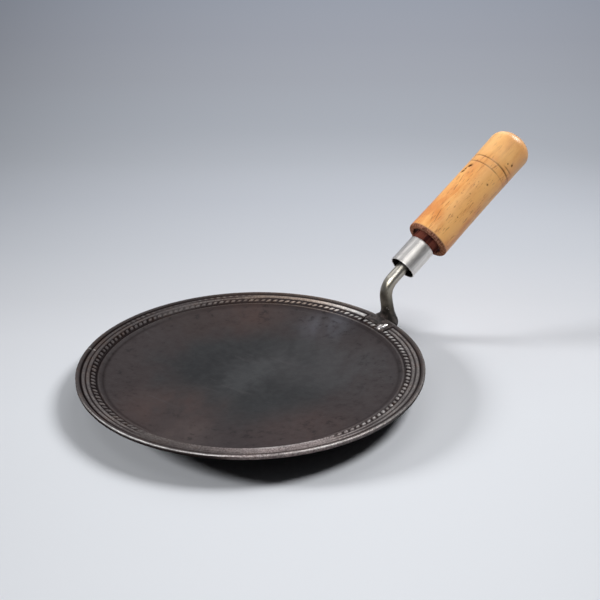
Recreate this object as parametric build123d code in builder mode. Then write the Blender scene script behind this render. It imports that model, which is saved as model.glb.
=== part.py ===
from build123d import *
import math
import os

os.makedirs("parts", exist_ok=True)

# Tawa: a dished iron griddle plate with a ridged rim and a raised handle.
# Millimetres. The origin is the plate's centre on the table, the handle
# leaves along +X, and +Z is up.

# Griddle plate
plate_radius = 125.0
rim_height = 18.0         # from the table to the top of the lip
lip_wall = 2.5            # upright outer edge below the lip
lip_round = 0.6
plate_thickness = 4.2
floor_thickness = 4.5     # at the middle of the floor
base_radius = 50.0        # ground flat that rests on the hob
underside_bow = 0.6

# Ridged band of the rim
rim_width = 13.7
rim_fall = 2.8            # drop of the band towards the middle
ridge_height = 0.7
groove_shares = (0.28, 0.50, 0.74, 1.0)   # of the rim's width, from outside
bead_diameter = 3.3
bead_rise = 0.9
bead_pitch = 5.08
gutter_width = 0.8        # sunk line inside the beads
gutter_depth = 1.0
shoulder_width = 2.0      # low ridge between the gutter and the floor
shoulder_rise = 0.5
cove_width = 4.5
cove_depth = 1.5

# Stem: one rod with a forged foot
rod_diameter = 10.0
stem_offset = 5.0         # foot of the rod, outside the plate's edge
elbow_offset = 0.8        # corner of the bend, outside the plate's edge
elbow_rise = 26.2         # corner of the bend, above the lip
elbow_radius = 14.0
handle_pitch = 35.3       # degrees above the table
flare_height = 13.0
flare_left = 9.0          # reach of the foot from the rod's centre line
flare_right = 14.5
flare_inner = 10.5
flare_outer = 6.0
flare_rise = 0.8          # lowest section of the flare, above the lip
flare_shares = ((1.0, 0.0), (0.62, 0.09), (0.32, 0.30), (0.12, 0.62), (0.0, 1.0))

# Tongue of the foot, which lies in a seat cut into the ridges
tongue_left = 11.6        # reach along the rim from the handle's plane
tongue_right = 17.0
tongue_proud = 0.9        # above the ridges
tongue_round = 0.5
seat_depth = 0.2          # below the grooves
seat_gap = 0.05
seam_gap = 0.6            # open line beside the tongue

# Welds
heel_weld_leg = 5.0
heel_weld_bow = 1.0
tongue_weld_place = 12.9  # reach along the rim from the handle's plane
tongue_weld_length = 10.0
tongue_weld_diameter = 4.6
tongue_weld_rise = 2.6    # top of the lump above the grooves

# Ferrule, measured along the handle from its mouth
ferrule_setback = 21.0    # from the corner of the bend
ferrule_length = 25.0
ferrule_diameter = 22.4
ferrule_wall = 0.9
ferrule_lip = 0.3

# Wooden grip
collar_length = 5.5       # bare wood between the ferrule and the grip's front
collar_diameter = 22.0
spigot_recess = 9.0       # spigot's face, inside the ferrule's mouth
recess_depth = 1.5        # ring sunk into the grip's front around the collar
recess_diameter = 27.2
lip_diameter = 31.8
front_diameter = 36.4
waist_diameter = 35.2
back_diameter = 36.0
chamfer_length = 2.5
grip_length = 119.3
dome_length = 12.8
ring_from_end = 43.5
ring_spacing = 6.5
ring_depth = 0.5
ring_width = 1.0

# Threaded end of the rod and the insert that takes it
tang_diameter = 8.0
tang_length = 45.0
tang_chamfer = 1.0
insert_length = 22.0
insert_diameter = 12.0
flange_diameter = 15.0
flange_thickness = 1.5
bore_spare = 3.0          # depth of the bore past the tang
bore_ease = 0.3
fit_gap = 0.05            # radial

overrun = 3.0             # length of a cut past the metal

shoulder_radius = plate_radius - rim_width - gutter_width - shoulder_width
floor_radius = shoulder_radius - cove_width
rod_radius = rod_diameter / 2


def rim_point(share, lift=0):
    """Point of the band's groove line, from the outer edge (0) to the gutter (1)."""
    radius = plate_radius - rim_width * share
    height = rim_height - ridge_height - rim_fall * share + lift
    return radius, height


def radial_plane(along_rim):
    """Upright plane through the plate's axis, turned by a length along the rim."""
    turn = along_rim / plate_radius
    across = (math.cos(turn), math.sin(turn), 0)
    return Plane(origin=(0, 0, 0), x_dir=across, z_dir=(across[1], -across[0], 0))


def rim_degrees(along_rim):
    return math.degrees(along_rim / plate_radius)


# Griddle plate: cast dish, turned section with arcs for the floor and the ridges
with BuildPart() as griddle_plate:
    with BuildSketch(Plane.XZ):
        with BuildLine():
            gutter_top = rim_point(1)
            gutter = (gutter_top[0] - gutter_width, gutter_top[1] - gutter_depth)
            shoulder_crest = (gutter[0] - shoulder_width / 2, gutter[1] + shoulder_rise)
            shoulder = (shoulder_radius, gutter[1])
            floor_edge = (floor_radius, shoulder[1] - cove_depth)
            floor_arc = TangentArc((0, floor_thickness), floor_edge, tangent=(1, 0))
            TangentArc(floor_edge, shoulder, tangent=floor_arc % 1)
            ThreePointArc(shoulder, shoulder_crest, gutter)
            Line(gutter, gutter_top)
            Line(gutter_top, rim_point(groove_shares[-2]))
            for outer, inner in zip(groove_shares[:-2], groove_shares[1:-1]):
                crest = rim_point((outer + inner) / 2, ridge_height)
                ThreePointArc(rim_point(inner), crest, rim_point(outer))
            lip_top = (plate_radius - lip_round, rim_height)
            lip_side = (plate_radius, rim_height - lip_round)
            TangentArc(lip_top, rim_point(groove_shares[0]), tangent=(-1, 0))
            TangentArc(lip_side, lip_top, tangent=(0, 1))
            lip_foot = (plate_radius, rim_height - lip_wall)
            under_edge = (floor_radius, floor_edge[1] - plate_thickness)
            under_middle = ((base_radius + floor_radius) / 2, under_edge[1] / 2 - underside_bow)
            Line(lip_side, lip_foot)
            Line(lip_foot, under_edge)
            ThreePointArc(under_edge, under_middle, (base_radius, 0))
            Polyline((base_radius, 0), (0, 0), (0, floor_thickness))
        make_face()
    revolve(axis=Axis.Z)

    # Seat for the tongue
    seat_side = tongue_right + seam_gap
    with BuildSketch(radial_plane(-seat_side)):
        with BuildLine():
            Polyline(
                (gutter[0], gutter_top[1] - seat_depth),
                (gutter_top[0], gutter_top[1] - seat_depth),
                rim_point(groove_shares[0], -seat_depth),
                rim_point(groove_shares[0], rim_height),
                (gutter[0], rim_height),
                close=True,
            )
        make_face()
    seat_arc = rim_degrees(seat_side + tongue_left + seam_gap)
    revolve(axis=Axis.Z, revolution_arc=seat_arc, mode=Mode.SUBTRACT)

    # Ring of beads inside the ridges, left out where the tongue lies
    bead_place = rim_point((groove_shares[-2] + groove_shares[-1]) / 2, bead_rise - bead_diameter / 2)
    bead_arc = 360 - seat_arc
    bead_count = round(math.radians(bead_arc) * bead_place[0] / bead_pitch)
    first_bead = rim_degrees(tongue_left + seam_gap) + bead_arc / bead_count / 2
    with Locations((0, 0, bead_place[1])):
        with PolarLocations(bead_place[0], bead_count, first_bead, bead_arc, endpoint=False):
            Sphere(bead_diameter / 2)

griddle_plate.part.label = "griddle_plate"
export_step(griddle_plate.part, "parts/griddle_plate.step")

# Places along the handle
pitch = math.radians(handle_pitch)
handle_way = (math.cos(pitch), 0, math.sin(pitch))
stem_foot = (plate_radius + stem_offset, 0, rim_height)
elbow = (plate_radius + elbow_offset, 0, rim_height + elbow_rise)


def along_handle(start, distance):
    return tuple(value + distance * way for value, way in zip(start, handle_way))


mouth = along_handle(elbow, ferrule_setback)
rod_end = along_handle(mouth, spigot_recess)
handle_axis = Axis(mouth, handle_way)
handle_plane = Plane(origin=mouth, x_dir=handle_way, z_dir=(0, -1, 0))

# Stem: rod bent at the elbow, its foot drawn out over and beside the rim
with BuildPart() as handle_stem:
    rise_way = (Vector(elbow) - Vector(stem_foot)).normalized()
    foot_plane = Plane(origin=stem_foot, x_dir=Vector(0, 1, 0).cross(rise_way), z_dir=rise_way)
    with BuildLine():
        rod_line = FilletPolyline(foot_plane.offset(flare_height).origin, elbow, rod_end, radius=elbow_radius)
    with BuildSketch(foot_plane.offset(flare_height)):
        Circle(rod_radius)
    sweep(path=rod_line)

    # Flare from the round rod to the wide foot
    for height_share, growth_share in reversed(flare_shares):
        reach_left = rod_radius + growth_share * (flare_left - rod_radius)
        reach_right = rod_radius + growth_share * (flare_right - rod_radius)
        reach_inner = rod_radius + growth_share * (flare_inner - rod_radius)
        reach_outer = rod_radius + growth_share * (flare_outer - rod_radius)
        height = flare_rise + height_share * (flare_height - flare_rise)
        with BuildSketch(foot_plane.offset(height)):
            with Locations(((reach_outer - reach_inner) / 2, (reach_left - reach_right) / 2)):
                Ellipse((reach_outer + reach_inner) / 2, (reach_left + reach_right) / 2)
    loft()

    # Heel: the foot carried on down outside the rim
    with BuildSketch(foot_plane.offset(flare_rise)):
        with Locations(((flare_outer - flare_inner) / 2, (flare_left - flare_right) / 2)):
            Ellipse((flare_outer + flare_inner) / 2, (flare_left + flare_right) / 2)
    extrude(amount=-(flare_rise + lip_wall + overrun))

    # Tongue: flat strip that follows the slope of the band
    with BuildSketch(radial_plane(-tongue_right)):
        with BuildLine():
            Polyline(
                rim_point(1, seat_gap - seat_depth),
                rim_point(groove_shares[0], seat_gap - seat_depth),
                rim_point(groove_shares[0], ridge_height + tongue_proud),
                rim_point(1, ridge_height + tongue_proud - tongue_round),
                close=True,
            )
        make_face()
    revolve(axis=Axis.Z, revolution_arc=rim_degrees(tongue_left + tongue_right))

    # Space of the rim and below it, taken out of the foot
    with BuildSketch(Plane.XZ):
        with BuildLine():
            lip_inside = plate_radius - rim_width * groove_shares[0]
            seat_outer = rim_point(groove_shares[0], seat_gap - seat_depth)
            seat_inner = rim_point(1, seat_gap - seat_depth)
            far_radius = plate_radius + stem_offset + flare_outer + overrun
            Polyline(
                (seat_inner[0], 0),
                (far_radius, 0),
                (far_radius, rim_height - lip_wall),
                (plate_radius + seat_gap, rim_height - lip_wall),
                (plate_radius + seat_gap, rim_height + seat_gap),
                (lip_inside, rim_height + seat_gap),
                seat_outer,
                seat_inner,
                close=True,
            )
        make_face()
    revolve(axis=Axis.Z, mode=Mode.SUBTRACT)

    # Threaded end of the rod
    with BuildSketch(handle_plane):
        with BuildLine():
            Polyline(
                (spigot_recess, 0),
                (spigot_recess, tang_diameter / 2),
                (spigot_recess + tang_length - tang_chamfer, tang_diameter / 2),
                (spigot_recess + tang_length, tang_diameter / 2 - tang_chamfer),
                (spigot_recess + tang_length, 0),
                close=True,
            )
        make_face()
    revolve(axis=handle_axis)

handle_stem.part.label = "handle_stem"
export_step(handle_stem.part, "parts/handle_stem.step")

# Heel weld: bead in the corner under the rim, between the plate and the heel
with BuildPart() as heel_weld:
    weld_width = flare_left + flare_right - 2 * heel_weld_leg
    weld_start = -flare_right + heel_weld_leg
    with BuildSketch(radial_plane(weld_start)):
        with BuildLine():
            under_slope = (lip_foot[1] - under_edge[1]) / (lip_foot[0] - under_edge[0])
            weld_inner = (lip_foot[0] - heel_weld_leg, lip_foot[1] - under_slope * heel_weld_leg)
            weld_outer = (lip_foot[0] + heel_weld_leg, lip_foot[1])
            weld_belly = (lip_foot[0] + heel_weld_bow, weld_inner[1] - heel_weld_bow)
            Polyline(weld_inner, lip_foot, weld_outer)
            ThreePointArc(weld_outer, weld_belly, weld_inner)
        make_face()
    revolve(axis=Axis.Z, revolution_arc=rim_degrees(weld_width))

heel_weld.part.label = "heel_weld"
export_step(heel_weld.part, "parts/heel_weld.step")

# Tongue weld: polished lump that lies across the tongue and over its inner edge
with BuildPart() as tongue_weld:
    lump_reach, lump_height = rim_point(groove_shares[-2], tongue_weld_rise - tongue_weld_diameter / 2)
    lump_turn = -tongue_weld_place / plate_radius
    lump_out = (math.cos(lump_turn), math.sin(lump_turn), rim_fall / rim_width)
    lump_side = (-math.sin(lump_turn), math.cos(lump_turn), 0)
    lump_centre = (lump_reach * lump_out[0], lump_reach * lump_out[1], lump_height)
    with BuildSketch(Plane(origin=lump_centre, x_dir=lump_out, z_dir=lump_side)):
        with BuildLine():
            EllipticalCenterArc((0, 0), tongue_weld_length / 2, tongue_weld_diameter / 2, arc_size=180)
            Line((tongue_weld_length / 2, 0), (-tongue_weld_length / 2, 0))
        make_face()
    revolve(axis=Axis(lump_centre, lump_out))

    # Space of the seat and the tongue, taken out from under the lump
    lump_foot = gutter_top[1] - seat_depth + seat_gap
    with BuildSketch(Plane.XZ):
        with BuildLine():
            Polyline(
                (floor_radius, 0),
                (floor_radius, lump_foot),
                (gutter_top[0], lump_foot),
                rim_point(1, ridge_height + tongue_proud - tongue_round),
                rim_point(groove_shares[0], ridge_height + tongue_proud),
                (plate_radius, 0),
                close=True,
            )
        make_face()
    revolve(axis=Axis.Z, mode=Mode.SUBTRACT)

tongue_weld.part.label = "tongue_weld"
export_step(tongue_weld.part, "parts/tongue_weld.step")

# Ferrule: thin tube over the spigot, open at the front
with BuildPart() as ferrule:
    ferrule_bore = ferrule_diameter / 2 - ferrule_wall
    with BuildSketch(handle_plane):
        with BuildLine():
            Polyline(
                (0, ferrule_bore + ferrule_lip),
                (0, ferrule_diameter / 2 - ferrule_lip),
                (ferrule_lip, ferrule_diameter / 2),
                (ferrule_length, ferrule_diameter / 2),
                (ferrule_length, ferrule_bore),
                (ferrule_lip, ferrule_bore),
                close=True,
            )
        make_face()
    revolve(axis=handle_axis)

ferrule.part.label = "ferrule"
export_step(ferrule.part, "parts/ferrule.step")

# Wooden grip: turned from one billet, bored for the insert and the tang
grip_front = ferrule_length + collar_length
grip_end = grip_front + grip_length
dome_start = grip_end - dome_length
flange_seat = spigot_recess + flange_thickness
insert_end = flange_seat + insert_length
tang_end = spigot_recess + tang_length
with BuildPart() as wooden_grip:
    with BuildSketch(handle_plane):
        with BuildLine():
            Polyline(
                (tang_end + bore_spare, 0),
                (tang_end + bore_spare, tang_diameter / 2 + bore_ease),
                (insert_end, tang_diameter / 2 + bore_ease),
                (insert_end, insert_diameter / 2 + fit_gap),
                (flange_seat, insert_diameter / 2 + fit_gap),
                (flange_seat, flange_diameter / 2 + fit_gap),
                (spigot_recess, flange_diameter / 2 + fit_gap),
                (spigot_recess, ferrule_bore - fit_gap),
                (ferrule_length, ferrule_bore - fit_gap),
                (ferrule_length, collar_diameter / 2),
                (grip_front + recess_depth, collar_diameter / 2),
                (grip_front + recess_depth, recess_diameter / 2),
                (grip_front, recess_diameter / 2),
                (grip_front, lip_diameter / 2),
                (grip_front + chamfer_length, front_diameter / 2),
            )
            ThreePointArc(
                (grip_front + chamfer_length, front_diameter / 2),
                ((grip_front + dome_start) / 2, waist_diameter / 2),
                (dome_start, back_diameter / 2),
            )
            EllipticalCenterArc((dome_start, 0), dome_length, back_diameter / 2, start_angle=0, arc_size=90)
            Line((grip_end, 0), (tang_end + bore_spare, 0))
        make_face()
    revolve(axis=handle_axis)

    # Two burnt rings
    with BuildSketch(handle_plane):
        for ring in (0, 1):
            ring_place = grip_end - ring_from_end + ring * ring_spacing
            with BuildLine():
                Polyline(
                    (ring_place - ring_width / 2, back_diameter / 2 + ring_depth),
                    (ring_place, back_diameter / 2 - ring_depth),
                    (ring_place + ring_width / 2, back_diameter / 2 + ring_depth),
                    close=True,
                )
            make_face()
    revolve(axis=handle_axis, mode=Mode.SUBTRACT)

wooden_grip.part.label = "wooden_grip"
export_step(wooden_grip.part, "parts/wooden_grip.step")

# Tang insert: flanged sleeve in the spigot, screwed onto the end of the rod
with BuildPart() as tang_insert:
    insert_bore = tang_diameter / 2 + fit_gap
    with BuildSketch(handle_plane):
        with BuildLine():
            Polyline(
                (spigot_recess, insert_bore),
                (spigot_recess, flange_diameter / 2),
                (flange_seat, flange_diameter / 2),
                (flange_seat, insert_diameter / 2),
                (insert_end, insert_diameter / 2),
                (insert_end, insert_bore),
                close=True,
            )
        make_face()
    revolve(axis=handle_axis)

tang_insert.part.label = "tang_insert"
export_step(tang_insert.part, "parts/tang_insert.step")
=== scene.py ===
import math

import bmesh
import bpy
import numpy as np
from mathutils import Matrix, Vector


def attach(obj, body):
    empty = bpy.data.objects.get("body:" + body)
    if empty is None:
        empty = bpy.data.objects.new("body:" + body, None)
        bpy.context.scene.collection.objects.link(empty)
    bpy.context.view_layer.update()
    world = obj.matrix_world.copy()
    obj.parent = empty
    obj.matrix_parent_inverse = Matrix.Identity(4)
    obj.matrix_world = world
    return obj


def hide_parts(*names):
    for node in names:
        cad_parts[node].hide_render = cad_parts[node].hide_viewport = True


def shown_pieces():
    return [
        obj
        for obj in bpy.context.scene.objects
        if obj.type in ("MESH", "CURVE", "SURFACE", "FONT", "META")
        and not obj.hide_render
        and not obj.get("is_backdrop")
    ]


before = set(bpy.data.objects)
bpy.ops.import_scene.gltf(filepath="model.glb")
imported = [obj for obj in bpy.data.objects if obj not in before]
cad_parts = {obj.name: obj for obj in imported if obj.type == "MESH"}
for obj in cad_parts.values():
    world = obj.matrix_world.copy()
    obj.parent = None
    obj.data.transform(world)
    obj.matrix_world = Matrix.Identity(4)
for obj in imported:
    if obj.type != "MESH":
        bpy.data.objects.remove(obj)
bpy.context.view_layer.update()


# Camera: a tripod shot from the front left, looking down on the plate.
# A normal lens, at the distance and height worked out from the rim's ellipse.
camera_turn = math.radians(-35.5)
camera_data = bpy.data.cameras.new("camera")
camera_data.lens = 51.13
camera_data.sensor_width = 36
camera = bpy.data.objects.new("camera", camera_data)
bpy.context.scene.collection.objects.link(camera)
camera.location = (-0.2913, -0.4684, 0.3041)
camera.rotation_euler = (math.radians(66.49), 0, camera_turn)
bpy.context.scene.camera = camera
bpy.context.scene.view_settings.view_transform = "Standard"


# Table and studio: a pale paper sweep whose colour is painted darker and cooler into the distance and towards
# its sides, as painted light falloff and vignetting, lit from behind by four softboxes. A fifth near the
# camera lights only the object.
def join(tree, value, socket):
    """Links a node's output to a socket, or sets the socket to a value."""
    if isinstance(value, bpy.types.NodeSocket):
        tree.links.new(value, socket)
    else:
        socket.default_value = value


def fill(tree, node, **inputs):
    """Sets a node's inputs, each to a value or to another node's output."""
    for name, value in inputs.items():
        join(tree, value, node.inputs[name.replace("_", " ")])


def put(tree, kind, settings=None, **inputs):
    """Adds a shader node with its settings and inputs."""
    made = tree.nodes.new("ShaderNode" + kind)
    for name, value in (settings or {}).items():
        setattr(made, name, value)
    fill(tree, made, **inputs)
    return made


def calculate(tree, operation, first, second, clamp=False):
    """The result of a Math node: operation is DIVIDE, MAXIMUM and so on."""
    made = put(tree, "Math", {"operation": operation, "use_clamp": clamp})
    join(tree, first, made.inputs[0])
    join(tree, second, made.inputs[1])
    return made.outputs[0]


def plus(tree, first, second, clamp=False):
    return calculate(tree, "ADD", first, second, clamp)


def minus(tree, first, second, clamp=False):
    return calculate(tree, "SUBTRACT", first, second, clamp)


def times(tree, first, second, clamp=False):
    return calculate(tree, "MULTIPLY", first, second, clamp)


def length_of(tree, vector):
    return put(tree, "VectorMath", {"operation": "LENGTH"}, Vector=vector).outputs["Value"]


def along_way(tree, vector, way):
    """How far a vector reaches along a direction."""
    made = put(tree, "VectorMath", {"operation": "DOT_PRODUCT"})
    join(tree, vector, made.inputs[0])
    made.inputs[1].default_value = way
    return made.outputs["Value"]


def scaled(tree, vector, factor):
    return put(tree, "VectorMath", {"operation": "SCALE"}, Vector=vector, Scale=factor).outputs[0]


def ramp(tree, value, *stops):
    """A colour ramp over (place, colour) stops."""
    made = put(tree, "ValToRGB", Fac=value)
    elements = made.color_ramp.elements
    while len(elements) < len(stops):
        elements.new(0.5)
    for element, (place, colour) in zip(elements, stops):
        element.position = place
        element.color = (*colour, 1)
    return made.outputs["Color"]


def spread(tree, value, low, high, to_low=0.0, to_high=1.0):
    """Maps low..high to to_low..to_high with soft ends."""
    made = put(tree, "MapRange", {"interpolation_type": "SMOOTHSTEP"}, Value=value,
               From_Min=low, From_Max=high, To_Min=to_low, To_Max=to_high)
    return made.outputs["Result"]


def mix_shaders(tree, share, first, second):
    made = put(tree, "MixShader", Fac=share)
    tree.links.new(first.outputs[0], made.inputs[1])
    tree.links.new(second.outputs[0], made.inputs[2])
    return made


backward = (-math.sin(camera_turn), math.cos(camera_turn), 0.0)
rightward = (math.cos(camera_turn), math.sin(camera_turn), 0.0)
# Painted vignette: the sweep's colour is painted darker towards its sides, as the lens sees it: how far off
# the lens is, the nearest paper that counts, where the middle lies, and the greatest loss
lens_to_plate, nearest_paper = 0.85, 0.4
vignette_middle, vignette_most = 0.1, 0.35
# Its colours from front to back, placed as shares of its length: painted light falloff, brightest at the
# front and darker and cooler towards the back
sweep_front, sweep_length = -0.3, 4.3
wall_colour = (0.325, 0.35, 0.41)
sweep_falloff_colours = (
    (0.02, (0.83, 0.855, 0.90)), (0.06, (0.80, 0.825, 0.87)), (0.085, (0.74, 0.76, 0.805)),
    (0.105, (0.655, 0.675, 0.72)), (0.135, (0.57, 0.595, 0.645)), (0.175, (0.49, 0.515, 0.568)),
    (0.22, (0.437, 0.461, 0.509)), (0.29, (0.40, 0.425, 0.475)), (0.39, (0.37, 0.39, 0.44)),
    (0.56, (0.345, 0.365, 0.42)), (0.9, wall_colour),
)
# The paper takes light and shadow near the plate, and between these distances fades to its ramp colour given
# off as emission, which keeps the painted falloff and vignette
shadow_fade = (0.45, 0.9)
table_reach = 9.0

paper = bpy.data.materials.new("paper")
paper.use_nodes = True
tree = paper.node_tree
tree.nodes.clear()
where = put(tree, "NewGeometry").outputs["Position"]
depth = along_way(tree, where, backward)
from_lens = calculate(tree, "MAXIMUM", plus(tree, depth, lens_to_plate), nearest_paper)
aside = calculate(tree, "DIVIDE", along_way(tree, where, rightward), from_lens)
aside = minus(tree, aside, vignette_middle)
loss = times(tree, times(tree, aside, aside), spread(tree, depth, -0.1, 0.5, 1.1, 2.2))
painted_vignette = minus(tree, 1.0, calculate(tree, "MINIMUM", loss, vignette_most))
along_sweep = calculate(tree, "DIVIDE", minus(tree, depth, sweep_front), sweep_length)
painted_falloff_colour = scaled(tree, ramp(tree, along_sweep, *sweep_falloff_colours), painted_vignette)
fibre = put(tree, "TexNoise", Vector=where, Scale=900.0, Detail=3.0)
fibre_bump = put(tree, "Bump", Strength=0.05, Distance=0.0002, Height=fibre.outputs["Fac"])
# The lit paper near the plate keeps the painted falloff and vignette in its base colour
near = put(tree, "BsdfPrincipled", Base_Color=painted_falloff_colour, Roughness=0.8, Specular_IOR_Level=0.2,
           Normal=fibre_bump.outputs[0])
far = put(tree, "Emission", Color=painted_falloff_colour)
both = mix_shaders(tree, spread(tree, length_of(tree, where), *shadow_fade), near, far)
tree.links.new(both.outputs[0], put(tree, "OutputMaterial").inputs["Surface"])

table_mesh = bpy.data.meshes.new("table")
table_turns = [math.radians(degrees) for degrees in range(0, 360, 4)]
table_edge = [(table_reach * math.cos(turn), table_reach * math.sin(turn), 0) for turn in table_turns]
table_mesh.from_pydata(table_edge, [], [range(len(table_edge))])
table = bpy.data.objects.new("table", table_mesh)
bpy.context.scene.collection.objects.link(table)
table_mesh.materials.append(paper)
table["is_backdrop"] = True

# The room behind the camera is dim, so metal shows the pale sweep with dark edges
studio = bpy.data.worlds.new("studio")
bpy.context.scene.world = studio
studio.use_nodes = True
tree = studio.node_tree
tree.nodes.clear()
path = put(tree, "LightPath")
seen = plus(tree, path.outputs["Is Camera Ray"], path.outputs["Is Transmission Ray"], clamp=True)
toward = put(tree, "TexCoord").outputs["Generated"]
paleness = spread(tree, along_way(tree, toward, (*backward[:2], 0.35)), -0.55, 0.35)
mirrored = ramp(tree, paleness, (0.0, (0.03, 0.03, 0.032)), (1.0, (0.36, 0.37, 0.40)))
walls = put(tree, "Background", Color=(*wall_colour, 1), Strength=1.0)
shine = put(tree, "Background", Color=mirrored, Strength=1.0)
ambient = put(tree, "Background", Color=(0.95, 0.97, 1.0, 1), Strength=0.02)
shown = mix_shaders(tree, seen, mix_shaders(tree, path.outputs["Is Glossy Ray"], ambient, shine), walls)
tree.links.new(shown.outputs[0], put(tree, "OutputWorld").inputs["Surface"])

lamp_distance = 2.6
lit_by_front = bpy.data.collections.new("lit_by_front")
# Each softbox: azimuth and elevation in degrees from the plate, width in metres, power in watts
softboxes = (
    ("softbox_right", -6.5, 46.5, 1.00, 50),
    ("softbox_left", 138, 22.5, 0.60, 54),
    ("softbox_back", 44.5, 42, 1.40, 9.5),
    ("softbox_above", 106, 54, 1.25, 4),
    ("softbox_front", -138, 46, 1.50, 42),
)
for lamp_name, azimuth, elevation, width, watts in softboxes:
    lamp = bpy.data.lights.new(lamp_name, "AREA")
    lamp.shape = "DISK"
    lamp.size = width
    lamp.energy = watts
    softbox = bpy.data.objects.new(lamp_name, lamp)
    bpy.context.scene.collection.objects.link(softbox)
    turn, rise = math.radians(azimuth), math.radians(elevation)
    way = Vector((math.cos(turn) * math.cos(rise), math.sin(turn) * math.cos(rise), math.sin(rise)))
    softbox.location = way * lamp_distance
    softbox.rotation_euler = way.to_track_quat("Z", "Y").to_euler()
    softbox.visible_glossy = lamp_name != "softbox_left"
    if lamp_name == "softbox_front":
        softbox.light_linking.receiver_collection = lit_by_front


# Griddle plate: one dished iron casting, 250 mm across, standing on a ground flat.
# Inside the lip run two ridges and a ring of cast beads, rubbed flat where the
# spatula comes over the front edge. Oil is baked on it, and the crests are worn bare. Their bareness holds
# painted highlight too, and the soot in grooves, gutter and underside holds painted shade.
mm = 0.001
plate_radius = 125.0
rim_height = 18.0
floor_thickness = 4.5
floor_sphere = 725.0
ridge_height = 0.7
rim_width = 13.7
rim_fall = 2.8
grooves = (121.2, 118.1, 114.9, 111.3)
bead_count = 140
slices_per_bead = 9
rim_slices = bead_count * slices_per_bead
# Underside: a ground flat, a belly rising from its edge, and a steeper slope from there to the lip
base_radius = 50.0
base_chamfer = 0.12
belly_end, belly_rise, belly_sag = 104.0, 7.8, 2.4
slope_end, slope_rise = 122.5, 7.7
# Lip: where its wall starts, then the wall's points, as radius, height, how bare, how much barer on the
# painted bright edge, and soot, which on the lower wall is also painted shade
lip_foot = (124.35, 15.2)
lip_wall = ((124.8, 15.45, 0.3, -0.2, 1.0), (124.95, 15.8, 0.4, -0.2, 0.9), (124.98, 16.6, 0.4, -0.2, 0.8),
            (125.0, 17.2, 0.5, -0.15, 0.6), (124.94, 17.62, 1.0, 0.25, 0.0), (124.72, 17.88, 1.0, 0.45, 0.0),
            (124.4, 17.985, 1.0, 0.35, 0.0))
# Its top: where it starts to fall to the first groove, and the radius and fall of its crown
lip_top_end, lip_crown, lip_crown_fall = 122.9, 123.9, 0.12
# Shoulder, gutter and cove inside the beads: radii and heights
inner_line = ((111.3, 14.3), (110.95, 13.5), (110.5, 13.45), (109.9, 13.95), (109.3, 14.0), (108.5, 13.4),
              (107.4, 12.75), (105.8, 12.4), (104.0, 12.05), (102.0, 11.76))
shoulder_radius, gutter_radius, cove_radius = 109.5, 110.9, 106.4
# Where they are worn away, a plain slope starts here and ends this much above the floor's own curve
worn_start, worn_rise = 104.0, 1.15
# Middle and half width of the swell that the two ridges form where they run together
joined_middle, joined_half = 118.3, 2.35
# The seat cut for the tongue, in degrees. Inside the step it ends sooner, and leaves the beads
seat_ends, seat_bead_end, seat_step = (-8.6, 5.9), -3.2, 114.7
# The nick: degrees round the rim, its half width, and the radii and depth of the dent
nick_place, nick_half, nick_ends, nick_depth = 136.3, 0.32, (118.6, 124.6), 0.25
# Stretches of the rim: degrees from and to, and the degrees over which each begins and ends
worn_front, worn_back = (-159.5, -97, 9), (81, 100, 10)
run_together, hammered = (2, 58, 16), (40, 116, 16)
# The first pair here is a painted highlight: the lip's inner flank is made barer along the left front
painted_bright_edge, bare_beads = (-184, -130, 12), (-88, -4, 14)
# The second pair is where the band beside the tongue's left end is painted near black as shade in the seam
front_soot, shade_by_tongue_end = (-162, -126, 16), (4.4, 6.3, 0.8)
darker_grooves, lighter_gutter = (84, 180, 26), (-76, 56, 20)
# Round the rim, in degrees: how bare the crests and the lip are, and how sooty the grooves. The bareness is
# partly painted highlight, raised where crests and lip catch the light, and the soot partly painted shade,
# deeper where the grooves lie in shade
bare_crests = (
    (-180, 0.20), (-162, 0.18), (-146, 0.14), (-118, 0.50), (-95, 0.42), (-66, 0.20), (-36, 0.24),
    (-8, 0.40), (10, 0.80), (20, 1.0), (30, 0.80), (45, 0.42), (62, 0.24), (92, 0.10), (128, 0.06),
    (156, 0.10), (170, 0.20),
)
bare_lip = (
    (-180, 0.12), (-163, 0.66), (-142, 0.34), (-122, 0.58), (-100, 0.72), (-84, 0.50), (-66, 0.22),
    (-20, 0.09), (14, 0.38), (50, 0.12), (90, 0.10), (125, 0.05), (150, 0.03), (170, 0.08),
)
soot_and_shade_round = (
    (-180, 0.9), (-165, 0.7), (-145, 0.6), (-95, 0.45), (-70, 0.5), (-42, 0.9), (-15, 0.75), (15, 0.45),
    (60, 0.5), (100, 0.8), (150, 1.0),
)


def soft_step(values, low, high):
    share = np.clip((values - low) / (high - low), 0, 1)
    return share * share * (3 - 2 * share)


def between(degrees, start, end, ease):
    """1 inside start..end and 0 outside, eased over a number of degrees."""
    middle, half = (start + end) / 2, (end - start) / 2
    off = np.abs((degrees - middle + 180) % 360 - 180)
    return 1 - soft_step(off, half - ease / 2, half + ease / 2)


def round_the_rim(degrees, places):
    """Values given at a few azimuths, read at any others."""
    turns, values = zip(*places)
    return np.interp(degrees, turns, values, period=360)


def waver(degrees, cycles, seed):
    """Smooth unevenness round a ring, about -1..1."""
    shape = np.random.default_rng(seed)
    total = np.zeros_like(degrees, dtype=float)
    for step in range(5):
        count = max(1, round(cycles * (0.6 + 0.35 * step)))
        total += shape.uniform(0.4, 1) * np.sin(np.radians(degrees) * count + shape.uniform(0, 6.28))
    return total / 2.5


def groove_line(radius):
    """Height of the sloping band in which the grooves are cut."""
    return rim_height - ridge_height - rim_fall * (plate_radius - radius) / rim_width


def floor_height(radius):
    return floor_thickness + floor_sphere - np.sqrt(floor_sphere ** 2 - radius ** 2)


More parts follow.
